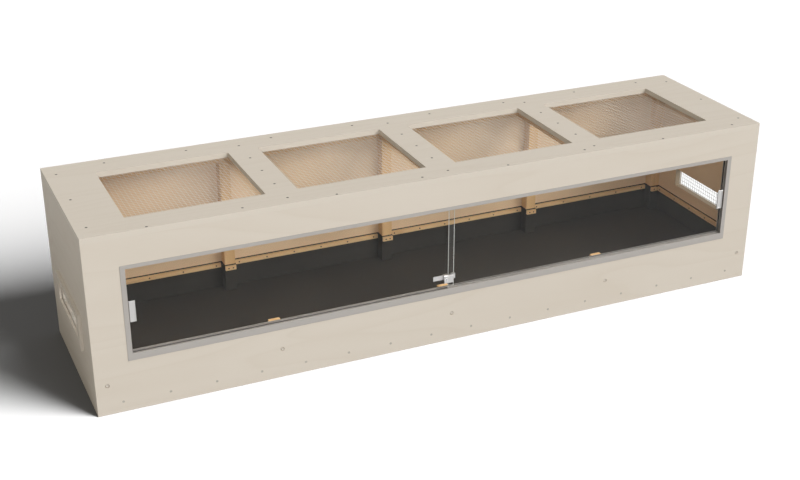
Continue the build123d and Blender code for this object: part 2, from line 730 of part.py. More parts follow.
def cut_grooves(low, high):
    """Cut both glass grooves out of the current sketch."""
    section_box((front_groove, front_groove + GROOVE), (low, high), Mode.SUBTRACT)
    section_box((rear_groove, rear_groove + GROOVE), (low, high), Mode.SUBTRACT)


with BuildPart() as track_bottom:
    with BuildSketch(track_section):
        section_box((front, track_back), (SILL_HEIGHT, track_lip))
        cut_grooves(track_floor, track_lip)
        for low, high in (
            (front_groove, front_groove + GROOVE),
            (rear_groove, rear_groove + GROOVE),
        ):
            section_box((low, high), (SILL_HEIGHT + CHAMBER_WALL, track_floor - CHAMBER_WALL), Mode.SUBTRACT)
    extrude(amount=window_right - window_left)
    with BuildSketch(flange_section):
        section_box((front - FLANGE, front), (SILL_HEIGHT - BOTTOM_LAP, track_lip))
    extrude(amount=window_right - window_left + 2 * SIDE_LAP)
track_bottom.part.label = "track_bottom"
export_step(track_bottom.part, "parts/track_bottom.step")

with BuildPart() as track_top:
    with BuildSketch(track_section):
        section_box((front, track_back), (head_lip, window_top))
        cut_grooves(head_lip, head_web)
    extrude(amount=window_right - window_left)
    with BuildSketch(flange_section):
        section_box((front - FLANGE, front), (head_lip, window_top + TOP_LAP))
    extrude(amount=window_right - window_left + 2 * SIDE_LAP)
track_top.part.label = "track_top"
export_step(track_top.part, "parts/track_top.step")

for side, edge, inward in (("left", window_left, 1), ("right", window_right, -1)):
    lip = edge + inward * side_lip
    web = edge + inward * WEB
    with BuildPart() as jamb:
        box_between(sorted((edge, lip)), (front, track_back), (track_lip, head_lip))
        for groove in (front_groove, rear_groove):
            with BuildSketch(Plane.XY.offset(track_lip)):
                with Locations(((web + lip) / 2, groove + GROOVE / 2)):
                    Rectangle(abs(lip - web), GROOVE)
            extrude(amount=head_lip - track_lip, mode=Mode.SUBTRACT)
        box_between(
            sorted((edge - inward * SIDE_LAP, lip)), (front - FLANGE, front), (track_lip, head_lip)
        )
    jamb.part.label = f"jamb_{side}"
    export_step(jamb.part, f"parts/jamb_{side}.step")

# Sliding panes: the left one in the rear groove, the right one in the front groove
pane_bottom = track_floor + GLASS_FLOOR_CLEARANCE
pane_top = head_web - GLASS_TOP_CLEARANCE
pane_reach = window_right - WEB - GLASS_SIDE_CLEARANCE
groove_gap = (GROOVE - GLASS) / 2
front_pane = (front_groove + groove_gap, front_groove + groove_gap + GLASS)
rear_pane = (rear_groove + groove_gap, rear_groove + groove_gap + GLASS)
right_pane_edge = -GLASS_OVERLAP / 2
left_pane_edge = GLASS_OVERLAP / 2

with BuildPart() as left_glass:
    box_between((-pane_reach, left_pane_edge), rear_pane, (pane_bottom, pane_top))
left_glass.part.label = "left_glass"
export_step(left_glass.part, "parts/left_glass.step")

with BuildPart() as right_glass:
    box_between((right_pane_edge, pane_reach), front_pane, (pane_bottom, pane_top))
right_glass.part.label = "right_glass"
export_step(right_glass.part, "parts/right_glass.step")

# Finger grips stuck on the panes' front faces, dished for a fingertip
grip_outer = window_right - side_lip - GRIP_EDGE_GAP
grip_z = SILL_HEIGHT + GRIP_ABOVE_SILL + GRIP_HEIGHT / 2
for side, x, glass_face in (
    ("left", -grip_outer + GRIP_WIDTH / 2, rear_pane[0]),
    ("right", grip_outer - GRIP_WIDTH / 2, front_pane[0]),
):
    with BuildPart() as grip:
        with BuildSketch(Plane(origin=(x, glass_face, grip_z), x_dir=(1, 0, 0), z_dir=(0, -1, 0))):
            Rectangle(GRIP_WIDTH, GRIP_HEIGHT)
        extrude(amount=GRIP_THICKNESS)
        chamfer(grip.faces().sort_by(Axis.Y)[0].edges(), length=GRIP_THICKNESS / 5)
        with BuildSketch(
            Plane(origin=(x, glass_face - GRIP_THICKNESS, grip_z), x_dir=(1, 0, 0), z_dir=(0, -1, 0))
        ):
            RectangleRounded(GRIP_WIDTH - 2 * GRIP_RIM, GRIP_HEIGHT - 2 * GRIP_RIM, GRIP_RIM)
        extrude(amount=-GRIP_DISH, mode=Mode.SUBTRACT)
    grip.part.label = f"{side}_grip"
    export_step(grip.part, f"parts/{side}_grip.step")

# Ratchet bar between the panes, hooked round the left pane's free edge
lock_z = SILL_HEIGHT + LOCK_ABOVE_SILL
bar_front = front_pane[1] + BAR_SETBACK
bar_back = bar_front + BAR_THICKNESS
hook_inner = left_pane_edge + HOOK_CLEARANCE
hook_outer = hook_inner + HOOK_THICKNESS
hook_return = rear_pane[1] + HOOK_CLEARANCE
bar_end = left_pane_edge - BAR_LENGTH
bar_bottom = lock_z - BAR_HEIGHT / 2
tooth_count = int((BAR_LENGTH - BAR_PLAIN_END) / BAR_TOOTH_PITCH)
with BuildPart() as lock_bar:
    with BuildSketch(Plane.XY.offset(bar_bottom)):
        with BuildLine():
            Polyline(
                (bar_end, bar_front),
                (hook_outer, bar_front),
                (hook_outer, hook_return + BAR_THICKNESS),
                (left_pane_edge - HOOK_RETURN, hook_return + BAR_THICKNESS),
                (left_pane_edge - HOOK_RETURN, hook_return),
                (hook_inner, hook_return),
                (hook_inner, bar_back),
                (bar_end, bar_back),
                close=True,
            )
        make_face()
    extrude(amount=BAR_HEIGHT)
    with BuildSketch(Plane(origin=(0, bar_front, bar_bottom), x_dir=(1, 0, 0), z_dir=(0, -1, 0))):
        for n in range(tooth_count):
            start = bar_end + (n + 0.5) * BAR_TOOTH_PITCH
            with BuildLine():
                Polyline(
                    (start, 0),
                    (start, BAR_TOOTH_DEPTH),
                    (start + BAR_TOOTH_PITCH * 0.75, 0),
                    close=True,
                )
            make_face()
    extrude(amount=-BAR_THICKNESS, mode=Mode.SUBTRACT)
lock_bar.part.label = "lock_bar"
export_step(lock_bar.part, "parts/lock_bar.step")

# Lock body: a block that slides on the bar against the right pane's edge, and a cap on its face
lock_right = right_pane_edge + LOCK_CAP_LAP
lock_left = lock_right - LOCK_WIDTH
block_right = right_pane_edge - LOCK_CLEARANCE
cap_back = front_pane[0] - LOCK_CLEARANCE
lock_front = cap_back - LOCK_CAP
block_back = bar_back + LOCK_CLEARANCE + LOCK_WALL
cap_z = lock_z - LOCK_DROP
cylinder_x = (lock_left + block_right) / 2
cap_z_range = (cap_z - LOCK_HEIGHT / 2, cap_z + LOCK_HEIGHT / 2)
block_z_range = (cap_z_range[0], lock_z + BAR_HEIGHT / 2 + LOCK_CLEARANCE + LOCK_WALL)
with BuildPart() as lock_body:
    box_between((lock_left, lock_right), (lock_front, cap_back), cap_z_range)
    fillet(lock_body.edges().filter_by(Axis.Y), radius=LOCK_EDGE)
    chamfer(lock_body.faces().sort_by(Axis.Y)[0].edges(), length=LOCK_EDGE / 2)
    box_between((lock_left, block_right), (cap_back, block_back), block_z_range)
    with Locations(((lock_left + block_right) / 2, (bar_front + bar_back) / 2, lock_z)):
        Box(
            block_right - lock_left + 2 * LOCK_WALL,
            BAR_THICKNESS + 2 * LOCK_CLEARANCE,
            BAR_HEIGHT + 2 * LOCK_CLEARANCE,
            mode=Mode.SUBTRACT,
        )
    with Locations(Plane(origin=(cylinder_x, lock_front, cap_z), x_dir=(1, 0, 0), z_dir=(0, -1, 0))):
        Hole(radius=CYLINDER_RADIUS, depth=CYLINDER_LENGTH - CYLINDER_PROUD + LOCK_CLEARANCE)
lock_body.part.label = "lock_body"
export_step(lock_body.part, "parts/lock_body.step")

# Key cylinder, free to turn in the lock body
cylinder_front = lock_front - CYLINDER_PROUD
with BuildPart() as lock_cylinder:
    with BuildSketch(Plane(origin=(cylinder_x, cylinder_front, cap_z), x_dir=(1, 0, 0), z_dir=(0, 1, 0))):
        Circle(CYLINDER_RADIUS - CYLINDER_CLEARANCE)
    extrude(amount=CYLINDER_LENGTH)
    chamfer(lock_cylinder.edges().group_by(Axis.Y)[0], length=CYLINDER_PROUD / 2)
    with Locations((cylinder_x, cylinder_front + KEYWAY_DEPTH / 2, cap_z)):
        Box(KEYWAY_WIDTH, KEYWAY_DEPTH, KEYWAY_HEIGHT, mode=Mode.SUBTRACT)
lock_cylinder.part.label = "lock_cylinder"
export_step(lock_cylinder.part, "parts/lock_cylinder.step")

# Fasteners
screw = wood_screw(SCREW_HEAD_RADIUS, SCREW_SHANK_RADIUS, SCREW_LENGTH)
batten_screw = wood_screw(BATTEN_SCREW_HEAD_RADIUS, BATTEN_SCREW_SHANK_RADIUS, BATTEN_SCREW_LENGTH)
bolt = panel_bolt()

with BuildPart() as roof_screws:
    with Locations(*[(x, y, HEIGHT - HEAD_RECESS) for x, y in roof_screw_points]):
        add(screw)
roof_screws.part.label = "roof_screws"
export_step(roof_screws.part, "parts/roof_screws.step")

with BuildPart() as wall_screws:
    for face in (front_face, back_face):
        with Locations(face.offset(-HEAD_RECESS)):
            with Locations(*[(x, LOWER_ROW_HEIGHT) for x in lower_row]):
                add(screw)
wall_screws.part.label = "wall_screws"
export_step(wall_screws.part, "parts/wall_screws.step")

with BuildPart() as post_bolts:
    for face in (front_face, back_face):
        with Locations(face.offset(-BOLT_RECESS)):
            with Locations(*[(x, POST_BOLT_HEIGHT) for x in all_post_centres]):
                add(bolt)
post_bolts.part.label = "post_bolts"
export_step(post_bolts.part, "parts/post_bolts.step")

bay_screw_xs = [x for xs in bay_screws for x in xs]
with BuildPart() as batten_screws:
    for face, along in (
        (back_batten_face, bay_screw_xs),
        (front_batten_face, [-x for x in bay_screw_xs]),
        (left_batten_face, end_screw_ys),
        (right_batten_face, [-y for y in end_screw_ys]),
        *[(clamp_face, along) for clamp_face, _, _, along in clamp_rows],
    ):
        with Locations(face.offset(-HEAD_RECESS)):
            with Locations(*[(value, 0) for value in along]):
                add(batten_screw)
batten_screws.part.label = "batten_screws"
export_step(batten_screws.part, "parts/batten_screws.step")

with BuildPart() as cover_screws:
    for face, direction in ((left_cover_face, -1), (right_cover_face, 1)):
        with Locations(face.offset(-HEAD_RECESS)):
            with Locations(*[(direction * y, z) for y, z in cover_screw_places]):
                add(batten_screw)
cover_screws.part.label = "cover_screws"
export_step(cover_screws.part, "parts/cover_screws.step")
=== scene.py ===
"""Looks for the plywood reptile enclosure, laid out as an add-on and run as a script."""

import math

import bmesh
import bpy
from bpy.props import FloatProperty, FloatVectorProperty, IntProperty, PointerProperty
from bpy.types import Operator, Panel, PropertyGroup
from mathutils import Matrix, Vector


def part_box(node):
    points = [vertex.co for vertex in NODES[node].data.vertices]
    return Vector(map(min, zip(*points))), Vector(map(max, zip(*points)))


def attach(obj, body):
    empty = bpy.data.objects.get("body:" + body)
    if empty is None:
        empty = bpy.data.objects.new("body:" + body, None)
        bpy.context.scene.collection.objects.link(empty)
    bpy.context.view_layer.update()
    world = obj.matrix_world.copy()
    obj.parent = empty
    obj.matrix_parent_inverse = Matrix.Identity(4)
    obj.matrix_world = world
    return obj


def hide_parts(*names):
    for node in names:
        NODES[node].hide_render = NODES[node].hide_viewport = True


bl_info = {
    "name": "Reptile enclosure",
    "version": (1, 0, 0),
    "blender": (4, 5, 0),
    "location": "3D View > Sidebar > Enclosure",
    "description": "Finishes and details of a plywood reptile enclosure",
    "category": "Object",
}

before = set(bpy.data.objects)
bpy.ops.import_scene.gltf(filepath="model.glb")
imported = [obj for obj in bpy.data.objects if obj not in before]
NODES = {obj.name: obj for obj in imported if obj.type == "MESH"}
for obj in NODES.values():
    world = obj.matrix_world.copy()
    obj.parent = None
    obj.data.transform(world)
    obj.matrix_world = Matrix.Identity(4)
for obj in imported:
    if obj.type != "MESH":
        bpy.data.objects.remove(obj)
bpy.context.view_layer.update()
MM = 0.001

PANELS = {
    # panel: (axis of its thickness, direction of its inner face, axis of its grain)
    "top_panel": ("Z", -1, "X"),
    "front_panel": ("Y", 1, "X"),
    "back_panel": ("Y", -1, "X"),
    "left_end_panel": ("X", 1, "Y"),
    "right_end_panel": ("X", -1, "Y"),
    "floor_panel": ("Z", 1, "X"),
    "vent_cover_left": ("X", 1, "Y"),
    "vent_cover_right": ("X", -1, "Y"),
}
POSTS = [
    "back_post_1", "back_post_2", "back_post_3",
    "front_post_1", "front_post_2", "front_post_3",
    "corner_post_front_left", "corner_post_front_right",
    "corner_post_back_left", "corner_post_back_right",
]
LONG_RAILS = ["base_rail_front", "base_rail_back", "roof_rail_front", "roof_rail_back"]
CROSS_RAILS = ["roof_rail_left", "roof_rail_right", "roof_joist_1", "roof_joist_2", "roof_joist_3"]
LONG_BATTENS = [
    "batten_back_1", "batten_back_2", "batten_back_3", "batten_back_4",
    "battens_front", "post_clamp_blocks",
]
CROSS_BATTENS = ["batten_left", "batten_right"]
BRIGHT_MESHES = ["roof_mesh_1", "roof_mesh_2", "roof_mesh_3", "roof_mesh_4", "vent_mesh_left"]

# The glass grooves: their width, the wall in front of each, and how far past its sides the painted shade
# may show
GROOVE = 7.0 * MM
GROOVE_WALL = 4.0 * MM
GROOVE_MARGIN = 0.1 * MM
# A face of a panel that lies this far below its outermost one is in a recess
RECESS = 0.3 * MM
# How the dark lines of the grain tint the wood
GRAIN_TINT = (0.72, 0.64, 0.54)
# The tone of the painted shade in an empty glass groove, which a level well under 1 scales
GROOVE_SHADE_TONE = (1.6, 1.54, 1.48)

# Sockets of a colour Mix node, whose names aren't unique
MIX_FACTOR = 0
MIX_FIRST = 6
MIX_SECOND = 7
MIX_RESULT = 2

WHITE = (1, 1, 1)
# The floor: half its width, its gap under the box, and where it starts and ends turning white, in metres
FLOOR_REACH = 60.0
FLOOR_GAP = 0.2 * MM
FADE_START = 4.0
FADE_END = 9.0
# The sky has all of its left tone where the X part of a direction is this or less
FULLY_LEFT = -0.8
# Directions that the lamps shine from
KEY_SIDE = (0.480, -0.625, 0.616)
FILL_SIDE = (-0.2, -0.91, 0.35)
FLOOR_LAMP_SIDE = (0.575, -0.530, 0.430)
FILL_ANGLE = math.radians(60)
# The camera: its place, how far it looks down and to the right, its lens and sensor, and how far it sees
CAMERA_PLACE = (-1.78666, -3.88797, 2.23130)
CAMERA_DOWN = 24.91
CAMERA_RIGHT = 23.99
CAMERA_LENS = 60.726
CAMERA_SENSOR = 36.0
CAMERA_REACH = 200.0


def colour(name, description, default):
    """A colour that a user can change."""
    return FloatVectorProperty(
        name=name, description=description, subtype="COLOR", size=3, min=0, max=1, default=default
    )


def length(name, description, default):
    """A small length that a user can change."""
    return FloatProperty(name=name, description=description, default=default, unit="LENGTH", precision=5)


def strength(name, description, default):
    """A strength of 0 or more that a user can change."""
    return FloatProperty(name=name, description=description, default=default, min=0)


def lamp_angle(name, description, degrees):
    """The apparent size of a lamp, which a user can change."""
    return FloatProperty(
        name=name, description=description, default=math.radians(degrees), subtype="ANGLE"
    )


class PlywoodFinish(PropertyGroup):
    """Finish of the birch plywood panels."""

    outside: colour("Outside", "Whitewashed face of the panels", (0.668, 0.610, 0.530))
    inside: colour("Inside", "Clear-sealed face inside the box", (0.80, 0.58, 0.365))
    # Dark wood used as painted shade, on the bottoms of recesses and the right end's cut edges
    painted_shade_wood: colour("Raw wood", "Bottoms of recesses, and the right end's edges", (0.36, 0.27, 0.17))
    dark_ply: colour("Dark plies", "Cross plies seen on a cut edge", (0.50, 0.42, 0.32))
    figure: FloatProperty(name="Figure", description="Strength of the grain", default=0.1, min=0, max=1)
    ply: length("Ply", "Thickness of one ply", 1.385 * MM)


class TimberFinish(PropertyGroup):
    """Finish of the posts, rails, joists and battens."""

    early: colour("Early wood", "Pale part of a growth ring", (0.76, 0.49, 0.24))
    late: colour("Late wood", "Dark part of a growth ring", (0.60, 0.35, 0.14))
    batten_early: colour("Batten early wood", "Pale part of a batten's ring", (0.81, 0.545, 0.28))
    batten_late: colour("Batten late wood", "Dark part of a batten's ring", (0.57, 0.335, 0.15))
    arris: length("Arris", "Radius of a planed edge", 1.5 * MM)


class LinerFinish(PropertyGroup):
    """Finish of the liner tub."""

    sheet: colour("Sheet", "Black plastic sheet", (0.024, 0.021, 0.017))
    dust: colour("Dust", "Pale dust on the sheet", (0.038, 0.033, 0.026))


class MetalFinish(PropertyGroup):
    """Finish of the metal parts."""

    profile: colour("Profile", "Anodised window profile", (0.405, 0.380, 0.355))
    fitting: colour("Fitting", "Grips and lock", (0.56, 0.55, 0.54))
    cylinder: colour("Cylinder", "Plated lock cylinder", (0.75, 0.75, 0.74))
    roof_screw: colour("Roof screw", "Dull zinc screws in the roof", (0.20, 0.185, 0.16))
    wall_screw: colour("Wall screw", "Bright zinc screws in the walls and covers", (0.56, 0.52, 0.455))
    batten_screw: colour("Batten screw", "Dark screws in the battens", (0.12, 0.08, 0.05))
    bolt: colour("Bolt", "Pale coated bolt heads", (0.66, 0.61, 0.54))
    # The same wire as the rest, darkened as painted shade for the backlit right vent
    vent_wire_shade: colour("Vent wire", "Weathered wire of the right vent", (0.30, 0.28, 0.25))
    wire: colour("Wire", "Galvanised mesh wire", (0.93, 0.89, 0.81))


class PaneSizes(PropertyGroup):
    """Sizes and tint of the sliding panes."""

    arris: length("Arris", "Width of a ground arris", 1.0 * MM)
    tint: colour("Tint", "Colour of light through a pane", (0.97, 0.975, 0.97))
    ground: colour("Ground edge", "Ground ends of a pane", (0.86, 0.86, 0.83))
    ior: FloatProperty(name="IOR", description="Refraction of the glass", default=1.22, min=1, max=2)


class WireSizes(PropertyGroup):
    """Sizes of the mesh wires."""

    sides: IntProperty(name="Sides", description="Faces round a wire", default=8, min=3, max=24)


class StageSettings(PropertyGroup):
    """Floor, lamps and sky."""

    sun: strength("Sun", "Strength of the main lamp", 2.06)
    sun_angle: lamp_angle("Sun angle", "Apparent size of the main lamp", 36)
    fill: strength("Fill", "Strength of the lamp from the front", 0.62)
    sky: strength("Sky", "Strength of the light from all round", 0.49)
    sky_left: colour("Left sky", "Warmer light from the left", (0.66, 0.60, 0.48))
    floor_lamp: strength("Floor lamp", "Strength of the lamp for the floor alone", 43.5)
    shadow_angle: lamp_angle("Shadow angle", "Apparent size of the floor's lamp", 38)
    floor: colour("Floor", "Colour of the floor as it is seen", (0.142, 0.142, 0.142))
    floor_bounce: colour("Floor bounce", "Colour of the floor as it lights the box", (0.05, 0.05, 0.05))


class EnclosureSettings(PropertyGroup):
    """All the sizes and finishes."""

    plywood: PointerProperty(type=PlywoodFinish)
    timber: PointerProperty(type=TimberFinish)
    liner: PointerProperty(type=LinerFinish)
    metal: PointerProperty(type=MetalFinish)
    panes: PointerProperty(type=PaneSizes)
    wires: PointerProperty(type=WireSizes)
    stage: PointerProperty(type=StageSettings)


class NodeTree:
    """Short ways to add nodes to a tree and to join them."""

    def __init__(self, tree):
        self.tree = tree

    def feed(self, socket, value):
        """Put a value on a socket, or join a node's output to it."""
        if isinstance(value, bpy.types.NodeSocket):
            self.tree.links.new(value, socket)
        elif socket.type == "RGBA":
            socket.default_value = (*value, 1)
        else:
            socket.default_value = value

    def add(self, kind, inputs=None, output=0, **options):
        """Add a node and return one of its outputs."""
        node = self.tree.nodes.new(kind)
        for key, value in options.items():
            setattr(node, key, value)
        for key, value in (inputs or {}).items():
            self.feed(node.inputs[key], value)
        return node.outputs[output]

    def maths(self, operation, first, second=0.0, clamp=False):
        """A Math node."""
        return self.add("ShaderNodeMath", {0: first, 1: second}, operation=operation, use_clamp=clamp)

    def rise(self, level, start, gain, clamp=False):
        """A start plus a gain times a level."""
        return self.maths("ADD", start, self.maths("MULTIPLY", level, gain), clamp)

    def band(self, value, low, high):
        """A level of 1 where a value lies between two limits, and 0 elsewhere."""
        above = self.maths("GREATER_THAN", value, low)
        return self.maths("MULTIPLY", above, self.maths("LESS_THAN", value, high))

    def mix(self, factor, first, second, blend="MIX"):
        """Mix two colours."""
        return self.add(
            "ShaderNodeMix", {MIX_FACTOR: factor, MIX_FIRST: first, MIX_SECOND: second},
            output=MIX_RESULT, data_type="RGBA", blend_type=blend,
        )

    def ramp(self, value, *stops):
        """A ramp of grey levels from (place, level) pairs."""
        node = self.tree.nodes.new("ShaderNodeValToRGB")
        self.feed(node.inputs[0], value)
        elements = node.color_ramp.elements
        while len(elements) < len(stops):
            elements.new(0.5)
        for element, (place, level) in zip(elements, stops):
            element.position = place
            element.color = (level, level, level, 1)
        return node.outputs[0]

    def part(self, vector, axis):
        """One of the three parts of a vector."""
        return self.add("ShaderNodeSeparateXYZ", {0: vector}, output=axis)


class Recipe(NodeTree):
    """A material's nodes."""

    def __init__(self, name, **surface):
        self.material = bpy.data.materials.new(name)
        self.material.use_nodes = True
        super().__init__(self.material.node_tree)
        self.surface = self.tree.nodes["Principled BSDF"]
        for key, value in surface.items():
            self.set(key.replace("_", " "), value)

    def set(self, name, value):
        """Set one of the surface's sockets to a value, or feed it from a node."""
        self.feed(self.surface.inputs[name], value)

    def cover(self, factor, shader):
        """Put another shader over the surface, as far as a factor says."""
        mixed = self.add("ShaderNodeMixShader", {0: factor, 1: self.surface.outputs[0], 2: shader})
        self.feed(self.tree.nodes["Material Output"].inputs["Surface"], mixed)

    def place(self):
        """Object coordinates, in metres."""
        return self.add("ShaderNodeTexCoord", output="Object")

    def coordinate(self, axis):
        """One object coordinate."""
        return self.part(self.place(), axis)

    def facing(self, axis):
        """How far the face points along an axis, from -1 to 1, in the piece's own frame."""
        return self.part(self.add("ShaderNodeTexCoord", output="Normal"), axis)

    def along(self, axis, lengthwise, offset=(0, 0, 0)):
        """Object coordinates scaled along one axis, which stretches a pattern along it."""
        scale = [lengthwise if name == axis else 1.0 for name in "XYZ"]
        return self.add(
            "ShaderNodeMapping", {"Vector": self.place(), "Scale": scale, "Location": offset}
        )

    def noise(self, vector, scale, detail=2.0, roughness=0.5):
        """A noise level from 0 to 1."""
        return self.add(
            "ShaderNodeTexNoise",
            {"Vector": vector, "Scale": scale, "Detail": detail, "Roughness": roughness},
        )

    def rounded(self, radius):
        """A normal that rounds the edges."""
        return self.add("ShaderNodeBevel", {"Radius": radius}, samples=4)

    def bump(self, height, distance, share, base=None):
        """A bump from a height map, on top of another normal if one is given."""
        inputs = {"Height": height, "Distance": distance, "Strength": share}
        if base is not None:
            inputs["Normal"] = base
        return self.add("ShaderNodeBump", inputs)


def settings():
    """The sizes and finishes in use."""
    return bpy.context.scene.enclosure


def finish(names, material):
    """Give CAD nodes a material."""
    for name in names:
        mesh = NODES[name].data
        mesh.materials.clear()
        mesh.materials.append(material)


def scaled(tone, share):
    """A tone with each of its parts times a share."""
    return tuple(value * share for value in tone)


def growth_rings(recipe, axis, offset, rings):
    """Closed-loop grain figure, as a level from 0 at pale wood to 1 at a dark line."""
    broad = recipe.noise(recipe.along(axis, 0.09, offset), 9.0, detail=1.0, roughness=0.4)
    steps = recipe.maths("FRACT", recipe.maths("MULTIPLY", broad, rings))
    return recipe.ramp(steps, (0.0, 0.25), (0.18, 0.0), (0.78, 0.55), (0.93, 1.0), (1.0, 0.3))


def fibres(recipe, axis, scale):
    """Fine fibres along the grain, as a level from 0 to 1."""
    return recipe.noise(recipe.along(axis, 0.03), scale, detail=3.0, roughness=0.6)


def plies(recipe, axis, thickness):
    """Cross plies and a glue line on a cut edge, as a level from 0 to 1."""
    across = recipe.maths("DIVIDE", recipe.coordinate(axis), thickness * 2)
    wobble = recipe.maths("MULTIPLY", recipe.noise(recipe.place(), 30.0), 0.25)
    layer = recipe.maths("FRACT", recipe.maths("ADD", across, wobble))
    return recipe.ramp(
        layer, (0.0, 0.0), (0.04, 0.9), (0.08, 0.0), (0.5, 0.0), (0.56, 0.75), (0.98, 0.75)
    )


def plywood(node, axis, inner, grain_axis, edge_tone):
    """Birch plywood: whitewashed outside, clear inside, dark wood as painted shade in recesses, plies on
    its cut edges.
    """
    look = settings().plywood
    recipe = Recipe(f"plywood_{node}", Specular_IOR_Level=0.35)
    figure = growth_rings(recipe, grain_axis, (0.31, 0.17, 0.53), 7.0)
    fine = fibres(recipe, grain_axis, 900.0)
    cloud = recipe.noise(recipe.place(), 2.2)
    short_lines = recipe.noise(recipe.along(grain_axis, 0.05), 420.0, detail=1.0)
    flecks = recipe.ramp(short_lines, (0.66, 0.0), (0.72, 1.0))

    facing = recipe.facing(axis)
    inward = recipe.ramp(recipe.maths("MULTIPLY", facing, inner), (0.5, 0.0), (0.55, 1.0))
    base = recipe.mix(inward, look.outside, look.inside)
    shade = recipe.maths("MULTIPLY", figure, look.figure)
    shade = recipe.rise(fine, shade, 0.10)
    shade = recipe.rise(cloud, shade, 0.12)
    shade = recipe.rise(flecks, shade, 0.06, clamp=True)
    face = recipe.mix(shade, base, recipe.mix(1.0, base, GRAIN_TINT, "MULTIPLY"))

    low, high = [corner["XYZ".index(axis)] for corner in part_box(node)]
    # Faces sunk below both surfaces, such as counterbore bottoms, get the dark wood as painted shade
    painted_recess_shade = recipe.band(recipe.coordinate(axis), low + RECESS, high - RECESS)
    face = recipe.mix(painted_recess_shade, face, look.painted_shade_wood)
    edge = recipe.maths("LESS_THAN", recipe.maths("ABSOLUTE", facing), 0.5)
    layer = recipe.maths("MULTIPLY", plies(recipe, axis, look.ply), 0.22)
    recipe.set("Base Color", recipe.mix(edge, face, recipe.mix(layer, edge_tone, look.dark_ply)))

    recipe.set("Roughness", recipe.rise(fine, 0.55, 0.16))
    recipe.set("Normal", recipe.bump(fine, 0.15 * MM, 0.5, recipe.rounded(0.8 * MM)))
    return recipe.material


def pine(name, axis, early, late, rings):
    """Planed softwood with growth rings along one axis."""
    recipe = Recipe(name, Specular_IOR_Level=0.35)
    figure = growth_rings(recipe, axis, (0.7, 0.2, 0.4), rings)
    fine = fibres(recipe, axis, 700.0)
    cloud = recipe.noise(recipe.along(axis, 0.2), 6.0)
    shade = recipe.maths("MULTIPLY", figure, 0.5)
    shade = recipe.rise(fine, shade, 0.28)
    shade = recipe.rise(cloud, shade, 0.3)
    shade = recipe.maths("SUBTRACT", shade, 0.22, clamp=True)
    recipe.set("Base Color", recipe.mix(shade, early, late))
    recipe.set("Roughness", recipe.rise(fine, 0.5, 0.2))
    height = recipe.maths("SUBTRACT", fine, recipe.maths("MULTIPLY", figure, 0.4))
    recipe.set("Normal", recipe.bump(height, 0.2 * MM, 0.6))
    return recipe.material


def black_sheet(look):
    """Black plastic sheet, pebbled and slightly wavy, with pale dust."""
    recipe = Recipe("liner_sheet", Specular_IOR_Level=0.2)
    dust = recipe.noise(recipe.place(), 5.0, detail=4.0, roughness=0.65)
    patch = recipe.ramp(dust, (0.35, 0.0), (0.8, 1.0))
    recipe.set("Base Color", recipe.mix(patch, look.sheet, look.dust))
    recipe.set("Roughness", recipe.rise(dust, 0.65, 0.25))
    pebble = recipe.noise(recipe.place(), 900.0)
    wave = recipe.noise(recipe.place(), 9.0, detail=1.0)
    soft = recipe.bump(wave, 2.0 * MM, 0.2)
    recipe.set("Normal", recipe.bump(pebble, 0.05 * MM, 0.3, soft))
    return recipe.material


def brush(recipe, axis, tone, wear, roughness, spread):
    """Give a metal fine lines along an axis and soft edges, and return its clouded tone."""
    lines = recipe.noise(recipe.along(axis, 0.01), 2500.0)
    recipe.set("Roughness", recipe.rise(lines, roughness, spread))
    recipe.set("Normal", recipe.bump(lines, 0.02 * MM, 0.6, recipe.rounded(0.35 * MM)))
    cloud = recipe.maths("MULTIPLY", recipe.noise(recipe.place(), 14.0), 0.5)
    return recipe.mix(cloud, tone, scaled(tone, wear))


def empty_grooves(recipe):
    """A level of 1 where a glass groove holds no pane, and 0 elsewhere."""
    depth = recipe.coordinate("Y")
    across = recipe.coordinate("X")
    front_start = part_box("front_panel")[0].y + GROOVE_WALL
    rear_start = front_start + GROOVE + GROOVE_WALL
    before_pane = recipe.maths("LESS_THAN", across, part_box("right_glass")[0].x)
    after_pane = recipe.maths("GREATER_THAN", across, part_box("left_glass")[1].x)
    halves = [
        recipe.maths(
            "MULTIPLY", recipe.band(depth, start - GROOVE_MARGIN, start + GROOVE + GROOVE_MARGIN), side
        )
        for start, side in ((front_start, before_pane), (rear_start, after_pane))
    ]
    return recipe.maths("ADD", *halves, clamp=True)


def profile_metal(name, axis, dust):
    """Anodised aluminium, with painted shade of a given level, flecked with grit, where a glass groove
    holds no pane.
    """
    recipe = Recipe(name, Metallic=0.6)
    metal = brush(recipe, axis, settings().metal.profile, 0.9, 0.42, 0.12)
    grit = recipe.noise(recipe.along(axis, 0.3), 900.0)
    # The dust argument is the level of the painted shade that darkens the empty grooves
    painted_groove_shade = recipe.mix(grit, scaled(GROOVE_SHADE_TONE, dust / 2), scaled(GROOVE_SHADE_TONE, dust))
    recipe.set("Base Color", recipe.mix(empty_grooves(recipe), metal, painted_groove_shade))
    return recipe.material


def fitting_metal(name, axis, roughness):
    """Satin metal with fine lines along its length."""
    recipe = Recipe(name, Metallic=1.0)
    tone = settings().metal.fitting
    recipe.set("Base Color", brush(recipe, axis, tone, 0.86, roughness, 0.1))
    return recipe.material


def plating(name, tone, wear, metallic, roughness, scale=800.0, spread=0.2):
    """A metal coating with worn marks, which are finer where the scale is larger."""
    recipe = Recipe(name, Metallic=metallic)
    marks = recipe.noise(recipe.place(), scale, detail=3.0)
    recipe.set("Base Color", recipe.mix(marks, tone, scaled(tone, wear)))
    recipe.set("Roughness", recipe.rise(marks, roughness, spread))
    return recipe.material


